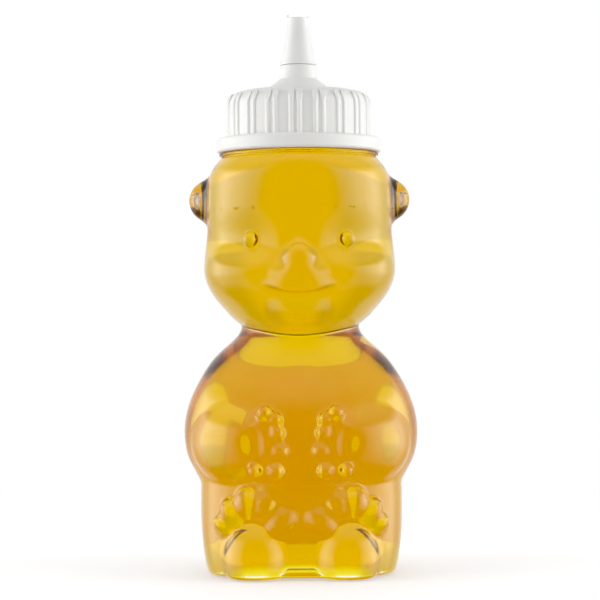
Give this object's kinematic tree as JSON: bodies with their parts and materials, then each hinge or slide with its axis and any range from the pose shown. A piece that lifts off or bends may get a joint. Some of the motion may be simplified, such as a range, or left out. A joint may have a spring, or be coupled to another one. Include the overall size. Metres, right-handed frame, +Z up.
{
  "type": "honey bear bottle",
  "caption": "Clear bear-shaped squeeze bottle filled with honey, with a ribbed screw cap, a pouring spout and a conical push-on tip.",
  "frame": {"origin": "on the table, midway between the bottle's front and back and under the axis of its neck", "axes": "+Z up along the neck's axis, +X to the bottle's right-hand side as seen from the front, -Y is the side with the bear's face"},
  "size_m": [0.0642, 0.051, 0.1532],
  "materials": {
    "clear_plastic": "clear, glossy blow-moulded plastic",
    "honey": "clear golden honey",
    "label_paper": "blank white coated paper",
    "liner_foam": "soft white foam sheet",
    "white_cap": "smooth white moulded plastic with a soft sheen",
    "white_tip": "thin white moulded plastic, slightly translucent"
  },
  "bodies": {
    "bottle": {"bottle": "clear_plastic", "honey": "honey", "back_label": "label_paper"},
    "liner": {"cap_liner": "liner_foam"},
    "cap": {"screw_cap": "white_cap"},
    "tip": {"tip_cap": "white_tip"}
  },
  "joints": [
    {"name": "cap_rise", "type": "slide", "parent": "bottle", "child": "liner", "axis": [0, 0, 1], "range_m": [0, 0.017]},
    {"name": "cap_turn", "type": "hinge", "parent": "liner", "child": "cap", "pos_m": [0, 0, 0.13], "axis": [0, 0, 1], "range_deg": [0, 720]},
    {"name": "tip_pull", "type": "slide", "parent": "cap", "child": "tip", "axis": [0, 0, 1], "range_m": [0, 0.0145]}
  ],
  "couplings": [
    {"joint": "cap_rise", "follows": "cap_turn", "m_per_rad": 0.0013464}
  ]
}
